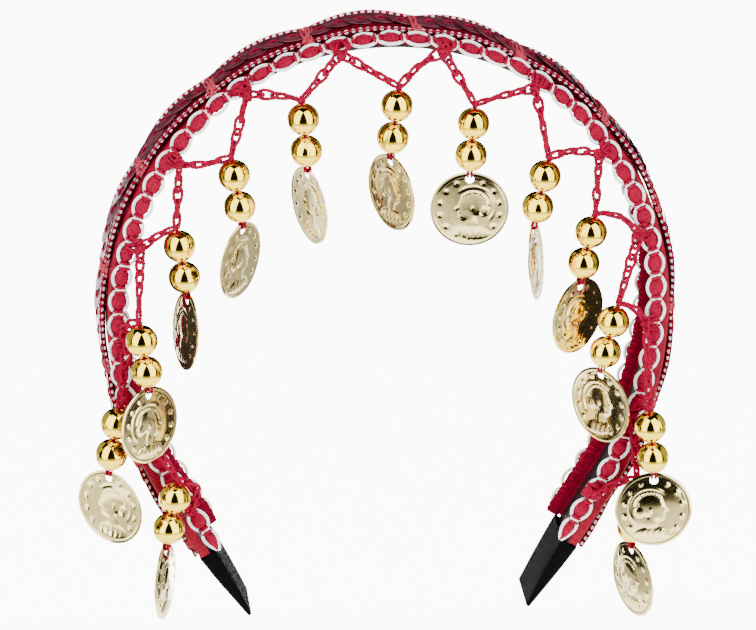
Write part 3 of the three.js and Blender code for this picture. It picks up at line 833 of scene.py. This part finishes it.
# way is 1 where the cords lie on a braid's outer face, and -1 on its inner one.
for name, seat, way in (("gimp_front", FRONT_GIMP_SEAT, 1), ("gimp_back", BACK_GIMP_SEAT, -1)):
    middle = on_gimp(seat, oval_places, 0, 0)
    ahead = unit(on_gimp(seat, oval_places + 0.5, 0, 0) - on_gimp(seat, oval_places - 0.5, 0, 0))
    wide = on_gimp(seat, oval_places, 1, 0) - middle
    thick = on_gimp(seat, oval_places, 0, 1) - middle
    size = rng.uniform(0.86, 1.1, (oval_count, 1))
    plump = rng.uniform(0.8, 1.12, (oval_count, 1)) * drawn_in(oval_places, 4)[:, None]
    ovals = []
    for kind in range(OVAL_KINDS):
        some = slice(kind, None, OVAL_KINDS)
        ovals.append(
            copies(
                oval_kinds[kind],
                middle[some],
                ahead[some] * OVAL_HALF_LENGTH * size[some],
                wide[some] * OVAL_HALF_WIDTH * plump[some],
                thick[some] * OVAL_HALF_THICK,
            )
        )
    stations = along_trim(1)
    ovals.append(tube(on_gimp(seat, stations, 0, 0), GIMP_NECK_RADIUS, 8, plies=2))
    for offset in (-BINDING_OFFSET, BINDING_OFFSET):
        crossings = oval_places[:-1] + oval_step / 2 + offset
        middle = on_gimp(seat, crossings, 0, 0)
        ahead = on_gimp(seat, crossings + 0.5, 0, 0) - middle
        wide = on_gimp(seat, crossings, 1, 0) - middle
        thick = on_gimp(seat, crossings, 0, 1) - middle
        ovals.append(copies(binding, middle, 1.5 * wide, thick, 2.2 * ahead))
    padding = piece(name + "_ovals", ovals, crimson_yarn, sharp=180)
    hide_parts(name)
    stations = along_trim(GIMP_CORD_STEP)
    phase = math.pi * (stations - oval_places[0]) / oval_step
    bow = np.sign(np.cos(phase)) * np.abs(np.cos(phase)) ** 0.5 * drawn_in(stations, 4)
    over = GIMP_CORD_CROSSING * np.sin(phase) ** 5
    cords = []
    for side in (-1, 1):
        proud = GIMP_CORD_PROUD * way + side * over
        bowed = on_gimp(seat, stations, side * GIMP_CORD_BOW * bow, proud)
        cords.append(tube(bowed, GIMP_CORD_RADIUS, 7))
    looped = piece(name + "_white_cords", cords, white_thread, sharp=180)
# The backing's yarn is the crimson yarn darkened, as painted shade for the shadow inside the band.
backing_yarn_with_painted_shade = spun_yarn("crimson_backing_darkened_as_painted_shade", "#7A0020", "#3A000C", 0.6, 0.9)
bed = piece("gimp_back_backing", [backing(BACK_GIMP_SEAT)], backing_yarn_with_painted_shade, sharp=180)


# ---- End caps ----
# Black ribbon folded over each end of the band and glued into a flat wedge, which hides where
# the trims stop.
CAP_MOUTH = 171
CAP_END = 190
CAP_CLOTH = 0.45
CAP_STEP = 0.9
CAP_HALF_WIDTH = 9.8
CAP_NARROWS = 0.6
CAP_HALF_THICK = 2.2
CAP_THINS = 1.75
CAP_PUFF = 0.25
CAP_MIDDLE = 0.9
CAP_MIDDLE_DROPS = 0.2
CREASE_HIGH = 0.28
CREASE_FROM_EDGE = 5.2
CREASE_DRIFT = 4.2


def cap_section(s):
    """A flattened loop of ribbon, thick at the mouth and pressed flat at the tip, with its lap."""
    share = (abs(s) - CAP_MOUTH) / (CAP_END - CAP_MOUTH)
    half = CAP_HALF_WIDTH - CAP_NARROWS * share - CAP_CLOTH / 2
    middle = CAP_MIDDLE - CAP_MIDDLE_DROPS * share
    thick = CAP_HALF_THICK - CAP_THINS * share - CAP_CLOTH / 2
    thick += CAP_PUFF * math.sin(math.pi * share)
    crease = CREASE_HIGH * (1 - share)
    turn = np.radians(np.linspace(90, -90, 9))
    edge = min(thick, 1.1)
    front = [(-half + edge - edge * math.cos(a), middle + thick * math.sin(a)) for a in turn]
    ridge = -half + CREASE_FROM_EDGE - CREASE_DRIFT * share
    outside = [(4, middle + thick), (ridge + 1.6, middle + thick), (ridge, middle + thick + crease)]
    inside = [(-3, middle - thick), (3, middle - thick)]
    back = [(-v, u) for v, u in front[::-1]]
    lap = [(0, middle + thick + 0.05), (0.4, middle + thick - 0.1)]
    return [lap[0], *outside[1:], *front, *inside, *back, outside[0], lap[1]]


grosgrain = satin("black_grosgrain_ribbon", "#070708", "#030304", 0.45, 0.9, 0.75, 0.03)
for name, side in (("cap_left", -1), ("cap_right", 1)):
    stations = side * even(CAP_MOUTH, CAP_END, CAP_STEP)
    cap = piece("folded_" + name, [cloth(stations, cap_section, CAP_CLOTH)], grosgrain, sharp=35)
    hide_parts(name)


# ---- Crochet edging ----
# A chain-stitch zig-zag in crimson yarn, knotted and whipped to the front braid every 24 mm. Its
# links stay open, narrow towards each bead, and end in the knot that the bead's thread hangs from.
# The thread runs through both beads and ends in two loops through the coin's hole.
CATCH_PITCH = 24
CATCH_SEAT = table(
    "s beyond proud",
    (0, 1.3, 0.35),
    (60, 0.6, 1.2),
    (108, 0, 1.6),
    (132, -1.4, 2.1),
    (156, -2.6, 2.1),
)
BRAID_HALF_WIDTH = 2.45
YARN_RADIUS = 0.43
LINK_PITCH = 3.2
LINK_LENGTH = 4.5
LINK_HALF_WIDTH = 0.9
LINK_HALF_WIDTH_AT_BEAD = 0.5
LINK_LIFT = 0.34
KNOT_RADIUS = 1.2
SMALL_KNOT_RADIUS = 0.8
KNOTS_A_CATCH = 3
WHIPPING_OFFSETS = (-1.8, -0.9, 0, 0.9, 1.8)
BEAD_RADIUS = 3.9
KNOT_ABOVE_BEAD = 0.9
THREAD_RADIUS = 0.42
LOOP_RADIUS = 0.28
LOOP_SPREAD = 0.45
LOOP_HALF_DEEP = 0.5
# How far the middle of each V's slack arm stands above the straight line between its ends.
SLACK_BOWS = [3.6, 1.7, 2.3, 0.5, -0.8, 0.5, 0.9, 0.3, 1.3, 1.9, 1.2, 0.8, 0.8]
joints = {joint["name"]: joint for joint in frame["joints"]}


def box_middle(node):
    low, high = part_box(node)
    return np.array((low + high) / 2) / MM


def beads_of(number):
    """The middles of a dangle's two beads, and the unit vector down its thread."""
    upper, lower = box_middle("bead_upper_" + number), box_middle("bead_lower_" + number)
    return upper, lower, unit(lower - upper)


def hinge_of(number):
    """The middle of a coin's hole, and the axis through it that the coin turns about."""
    joint = joints["coin_" + number + "_swing"]
    return np.array(joint["pos_m"]) / MM, np.array(joint["axis"])


def yarn_knot(centre, radius, turn):
    """A small overhand knot, turned at random."""
    t = whole_turn(64)
    loop = [np.sin(t) + 2 * np.sin(2 * t), np.cos(t) - 2 * np.cos(2 * t), -np.sin(3 * t)]
    path = np.stack(loop, -1) * radius / 3.2
    tip, spin, roll = [np.array(Matrix.Rotation(a, 3, axis)) for a, axis in zip(turn, "XYZ")]
    return tube(centre + path @ (tip @ spin @ roll).T, YARN_RADIUS, 7, closed=True, plies=2)


def catch_at(s):
    """Where the edging is caught, a little beyond and proud of the front braid's free edge."""
    beyond = column(CATCH_SEAT, "beyond", abs(s))
    proud = column(CATCH_SEAT, "proud", abs(s))
    return on_gimp(FRONT_GIMP_SEAT, s, -BRAID_HALF_WIDTH - beyond, proud)


def chain_route(start, end, bow):
    """The line of one arm of a V, whose middle stands bow above the straight line."""
    run = end - start
    above = np.array([-run[2], 0, run[0]]) / math.hypot(run[0], run[2])
    middle = (start + end) / 2 + above * 2 * bow * np.sign(above[2])
    t = np.linspace(0, 1, 60)[:, None]
    return (1 - t) ** 2 * start + 2 * t * (1 - t) * middle + t**2 * end


def chain(route):
    """Open chain stitches along a route, each link passing behind the one before it."""
    run = run_along(route)

    def spot(distance):
        return np.array([np.interp(distance, run, route[:, axis]) for axis in range(3)]).T

    count = max(round(run[-1] / LINK_PITCH), 2)
    pitch = run[-1] / count
    t = whole_turn(30)
    links = []
    for i in range(count):
        share = (i + 0.5) / count
        half = LINK_HALF_WIDTH + (LINK_HALF_WIDTH_AT_BEAD - LINK_HALF_WIDTH) * share**1.5
        half *= rng.choice([0.5, 0.8, 1.0, 1.3])
        reach = pitch * LINK_LENGTH / LINK_PITCH / 2
        middle = spot(np.clip((i + 0.5) * pitch + reach * np.cos(t), 0, run[-1]))
        ahead = unit(spot(min((i + 1) * pitch, run[-1])) - spot(i * pitch))
        turned = rng.uniform(-0.5, 0.5)
        side = unit(np.cross(ahead, (0, -1, 0)))
        deep = np.cross(side, ahead)
        wide = half * np.sin(t) * (1 - 0.3 * np.cos(t))
        lift = LINK_LIFT * np.cos(t)
        across = wide * math.cos(turned) - lift * math.sin(turned)
        out = wide * math.sin(turned) + lift * math.cos(turned)
        path = middle + side * across[:, None] + deep * out[:, None]
        links.append(tube(path, YARN_RADIUS, 8, closed=True, plies=2))
    return links


dangles = len(SLACK_BOWS)
catch_places = CATCH_PITCH * (np.arange(dangles + 1) - dangles / 2)
catches = [catch_at(s) for s in catch_places]
crochet = []
threads = []
for s, place in zip(catch_places, catches):
    for _ in range(KNOTS_A_CATCH):
        centre = place + rng.uniform(-0.5, 0.5, 3)
        crochet.append(yarn_knot(centre, KNOT_RADIUS, rng.uniform(0, 6, 3)))
    for offset in WHIPPING_OFFSETS:
        reach = rng.uniform(-0.8, 0.6)
        slant = rng.uniform(-1.6, 1.6)
        wraps = [
            on_gimp(FRONT_GIMP_SEAT, s + offset, reach, 0.6),
            on_gimp(FRONT_GIMP_SEAT, s + offset, reach - 0.5, 1.2),
            on_gimp(FRONT_GIMP_SEAT, s + offset + slant / 2, -1.6, rng.uniform(1.0, 1.6)),
            on_gimp(FRONT_GIMP_SEAT, s + offset * 0.5 + slant, -2.6, 0.8),
            place,
        ]
        crochet.append(tube(smooth(wraps, 5), YARN_RADIUS, 7, plies=2))
for dangle, bow in enumerate(SLACK_BOWS, 1):
    number = f"{dangle:02d}"
    upper, lower, down = beads_of(number)
    top = upper - down * (BEAD_RADIUS + KNOT_ABOVE_BEAD)
    left, right = catches[dangle - 1], catches[dangle]
    high, low = (right, left) if dangle < (dangles + 1) / 2 else (left, right)
    crochet += chain(chain_route(high, top, 0))
    crochet += chain(chain_route(low, top, bow))
    crochet.append(yarn_knot(top, SMALL_KNOT_RADIUS, rng.uniform(0, 6, 3)))
    mouth = lower + down * BEAD_RADIUS
    threads.append(tube([top, upper, lower, mouth - down], THREAD_RADIUS, 8))
    hole, face = hinge_of(number)
    beside = np.array([-face[1], face[0], 0]) * LOOP_SPREAD
    before, after = [
        [mouth - down * 1.2 + out, (mouth + hole) / 2 + 1.24 * out, hole + out + (0, 0, 0.9)]
        for out in (face * LOOP_HALF_DEEP, -face * LOOP_HALF_DEEP)
    ]
    loop = np.array([*before, hole + (0, 0, 0.6), *after[::-1]])
    for way in (-1, 1):
        threads.append(tube(smooth(loop + way * beside, 6), LOOP_RADIUS, 7, plies=2, lay=0.9))
edging = piece("crochet_zigzag", crochet, crimson_yarn, sharp=180)
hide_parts("crochet_edging")
stringing = piece("bead_threads", threads, crimson_yarn, sharp=180)


# ---- Gilt beads ----
# Hollow moulded plastic beads, vacuum plated with gold, two on each thread. A fine mould seam runs
# from hole to hole, and the plating turns in round the lip of each hole.
BEAD_BORE = 0.95
BEAD_LIP = 1.25
BORE_END = 3.3
SEAM_PROUD = 0.035
SEAM_HALF_TURN = math.radians(1.3)

plated_gold, tree, shader = new_finish("vacuum_plated_gold")
# Bright plating on smooth plastic: a true mirror, with a faint unevenness in its polish.
haze = mottle(tree, 1.5, 3.0)
two_tone(tree, shader, haze, "#F0C81E", "#F8D83C")
uneven_gloss(tree, shader, haze, 0.03, 0.11)
feed(shader, {"Metallic": 1.0})

lip = math.asin(BEAD_LIP / BEAD_RADIUS)
arc = np.linspace(math.pi - lip, lip, 30)
outside = [(BEAD_RADIUS * math.sin(a), BEAD_RADIUS * math.cos(a)) for a in arc]
lip_top = (BEAD_LIP - 0.12, outside[-1][1] + 0.02)
rounding = [lip_top, (BEAD_BORE + 0.05, BORE_END + 0.25), (BEAD_BORE, BORE_END)]
mirrored = [(radius, -height) for radius, height in rounding[::-1]]
profile = [*mirrored, *outside, *rounding]
seams = np.array([-SEAM_HALF_TURN, 0, SEAM_HALF_TURN])
quarter = np.linspace(0, math.pi, 23)[1:-1]
turns = np.concatenate([seams, quarter, seams + math.pi, quarter + math.pi])
bead_shape = lathe(profile, turns)
is_seam = np.isin(np.arange(len(turns)), [1, 4 + len(quarter)])
bead_points = bead_shape[0].reshape(len(profile), len(turns), 3)
bead_points[len(mirrored) : len(mirrored) + len(outside), is_seam, :2] *= 1 + SEAM_PROUD / BEAD_RADIUS

for dangle in range(1, dangles + 1):
    number = f"{dangle:02d}"
    upper, lower, down = beads_of(number)
    for which, centre in (("upper", upper), ("lower", lower)):
        turn = rng.uniform(0, 2 * math.pi)
        side = unit(np.cross(down, (math.cos(turn), math.sin(turn), 0.2)))
        third = np.cross(-down, side)
        shape = copies(bead_shape, centre[None], side[None], third[None], -down[None])
        bead = piece(f"gilt_bead_{which}_{number}", [shape], plated_gold, sharp=60)
        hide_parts(f"bead_{which}_{number}")


# ---- Stamped coins ----
# Thin brass-plated discs struck from one side, so the back shows the relief sunk. A plain profile
# head under a veil, a band of dots for its crown, and round bosses near a narrow raised rim.
COIN_RADIUS = 9.5
COIN_WALL = 0.28
COIN_HOLE_RADIUS = 1.1
COIN_HOLE_DROP = 1.8
COIN_GRID = 0.25
# One row a coin. dome is how far the middle stands proud of the rim, lean tips the face up in
# degrees, and front is -1 where the back of the coin faces out.
COIN_BENDS = table(
    "dome lean front",
    (0.7, 0, 1),
    (0.3, -4, -1),
    (0.7, 2, 1),
    (0.4, 5, 1),
    (0.3, -5, 1),
    (0.4, -5, -1),
    (-0.3, -3, 1),
    (-0.5, -4, -1),
    (0.2, 5, 1),
    (0.5, -4, 1),
    (-0.6, -2, 1),
    (1.0, 1, 1),
    (0.5, -3, 1),
)
# The head's forms as ellipses: middle, half sizes, turn in degrees and height.
HEAD_FORMS = table(
    "a b wide tall turn high",
    (-0.7, 1.5, 3.2, 3.1, 0, 0.62),  # skull
    (1.1, 0.2, 1.9, 3.0, 8, 0.55),  # face
    (0.7, -1.5, 1.9, 1.4, -14, 0.5),  # jaw
    (2.9, 0.35, 0.75, 0.5, -32, 0.45),  # nose
    (2.45, -0.85, 0.45, 0.4, 0, 0.42),  # lips
    (2.2, -1.8, 0.62, 0.6, 0, 0.45),  # chin
    (-0.7, 0.2, 0.5, 0.8, 12, 0.8),  # ear
    (-3.5, -0.4, 1.3, 1.4, 20, 0.6),  # bun
    (-0.4, -3.4, 1.5, 2.4, -10, 0.45),  # neck
    (-0.7, -6.1, 4.1, 1.7, 6, 0.5),  # shoulder
)
RELIEF = 0.5
VEIL_MIDDLE = (-0.9, 0.6)
VEIL_RADIUS = 5.2
VEIL_FRONT = 0.75
VEIL_HEM = -2.3
CROWN_DOTS = 13
CROWN_REACH = 3.75
RIM_BOSSES = 13
BOSS_REACH = 7.3
RIM_REACH = 9.0
INNER_LINE_REACH = 8.2
ROBE_TOP = -4.7
ROBE_FOLDS = (-2.6, -1.2, 0.3, 1.7)
RIM_SIDES = 120
HOLE_SIDES = 24


def mound(a, b, row):
    """The height of one rounded form at (a, b)."""
    turn = math.radians(row["turn"])
    x = (a - row["a"]) * math.cos(turn) + (b - row["b"]) * math.sin(turn)
    y = (b - row["b"]) * math.cos(turn) - (a - row["a"]) * math.sin(turn)
    inside = 1 - (x / row["wide"]) ** 2 - (y / row["tall"]) ** 2
    return row["high"] * np.sqrt(np.clip(inside, 0, None))


def ridge(distance, width, high):
    """The height of a rounded line or dot at a distance from its middle."""
    return high * np.exp(-((distance / width) ** 2))


def relief(a, b):
    """The stamped height at (a, b), with the coin's middle at the origin and its top at +b."""
    reach = np.hypot(a, b)
    height = ridge(reach - RIM_REACH, 0.34, 0.12) + ridge(reach - INNER_LINE_REACH, 0.2, 0.04)
    forms = [mound(a, b, row) for row in HEAD_FORMS]
    height = height + RELIEF * sum(form**4 for form in forms) ** 0.25
    x, y = a - VEIL_MIDDLE[0], b - VEIL_MIDDLE[1]
    veil_turn = np.arctan2(y, x)
    worn = np.clip((veil_turn - VEIL_FRONT) * 3, 0, 1) + np.clip((VEIL_HEM - veil_turn) * 3, 0, 1)
    veil = ridge(np.hypot(x, y * 1.02) - VEIL_RADIUS, 0.34, 0.16)
    height = height + veil * np.clip(worn, 0, 1)
    for turn in np.linspace(0.85, 2.9, CROWN_DOTS):
        off = np.hypot(x - CROWN_REACH * math.cos(turn), y - CROWN_REACH * math.sin(turn))
        height = np.maximum(height, ridge(off, 0.26, 0.38) * (off < 0.6))
    for turn in math.pi / 2 + whole_turn(RIM_BOSSES + 1)[1:]:
        off = np.hypot(a - BOSS_REACH * math.cos(turn), b - BOSS_REACH * math.sin(turn))
        height = np.maximum(height, ridge(off, 0.5, 0.2))
    for fold in ROBE_FOLDS:
        drape = ridge(a - fold - 0.28 * (b + 6) - 0.2 * (b + 6) ** 2, 0.3, 0.08)
        height = height + drape * np.clip((ROBE_TOP - b) * 2, 0, 1) * (reach < 8)
    return height


def flat_disc():
    """Points and triangles of the disc, its hole cut out, with the order of its two rims."""
    outer, inner = whole_turn(RIM_SIDES), whole_turn(HOLE_SIDES)
    drop = COIN_RADIUS - COIN_HOLE_DROP
    rim = np.stack([np.cos(outer), np.sin(outer)], -1) * COIN_RADIUS
    hole = np.stack([np.cos(inner), np.sin(inner)], -1) * COIN_HOLE_RADIUS + (0, drop)
    count = int(COIN_RADIUS / COIN_GRID) + 1
    i, j = np.meshgrid(np.arange(-count, count + 1), np.arange(-count - 6, count + 7))
    grid = np.stack([(i + 0.5 * (j % 2)) * COIN_GRID, j * COIN_GRID * 0.866], -1).reshape(-1, 2)
    clear = np.hypot(*grid.T) < COIN_RADIUS - 0.6 * COIN_GRID
    clear &= np.hypot(grid[:, 0], grid[:, 1] - drop) > COIN_HOLE_RADIUS + 0.6 * COIN_GRID
    points = np.concatenate([rim, hole, grid[clear]])
    rims = [np.arange(RIM_SIDES), RIM_SIDES + np.arange(HOLE_SIDES)]
    edges = [(int(a), int(b)) for ring in rims for a, b in zip(ring, np.roll(ring, -1))]
    made = delaunay_2d_cdt([Vector(p) for p in points], edges, [], 1, 1e-6)
    corners = np.array([p[:] for p in made[0]])
    came_from = {source: i for i, sources in enumerate(made[3]) for source in sources}
    faces = np.array([face for face in made[2]])
    middle = corners[faces].mean(1)
    faces = faces[np.hypot(middle[:, 0], middle[:, 1] - drop) > COIN_HOLE_RADIUS * 0.99]
    return corners, faces, [np.array([came_from[int(i)] for i in ring]) for ring in rims]


pale_gilt, tree, shader = new_finish("pale_gilt_stamped_brass")
# Bright pale plating over thin struck metal: a mirror with duller and paler patches, which breaks
# up over the relief.
wear = mottle(tree, 1.2, 5.0)
two_tone(tree, shader, wear, "#E0C878", "#F0DC9A", (0.3, 0.6))
uneven_gloss(tree, shader, wear, 0.06, 0.16)
feed(shader, {"Metallic": 1.0})

plan, plan_faces, plan_rims = flat_disc()
struck = relief(*plan.T)
for coin_number, row in enumerate(COIN_BENDS, 1):
    number = f"{coin_number:02d}"
    hole, axis = hinge_of(number)
    face = axis if axis[1] < 0 else -axis
    right = np.array([-face[1], face[0], 0])
    up = np.array([0, 0, 1.0])
    a, b = plan.T
    reach = np.hypot(a, b) / COIN_RADIUS
    wave = rng.uniform(0, 2 * math.pi, 2)
    warp = 0.07 * np.sin(0.45 * a + wave[0]) * np.cos(0.4 * b + wave[1])
    drop = COIN_RADIUS - COIN_HOLE_DROP
    slope = math.tan(math.radians(row["lean"])) * row["front"]
    bent = row["dome"] * (1 - reach**2) + warp + (drop - b) * slope
    bent -= bent[np.argmin(np.hypot(a, b - drop + COIN_HOLE_RADIUS))]
    front, back = bent + struck + COIN_WALL / 2, bent + struck - COIN_WALL / 2
    middle = hole - up * drop
    flat = middle + np.outer(a * row["front"], right) + np.outer(b, up)
    sides = [flat + np.outer(height * row["front"], face) for height in (front, back)]
    faces = [plan_faces, plan_faces[:, ::-1] + len(plan)]
    for ring in plan_rims:
        ahead = np.roll(ring, -1)
        faces.append(np.stack([ring, ahead, ahead + len(plan), ring + len(plan)], -1))
    shape = (np.concatenate(sides), faces, None)
    coin = piece("stamped_coin_" + number, [shape], pale_gilt, body="hanging_coin_" + number)
    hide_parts("coin_" + number)
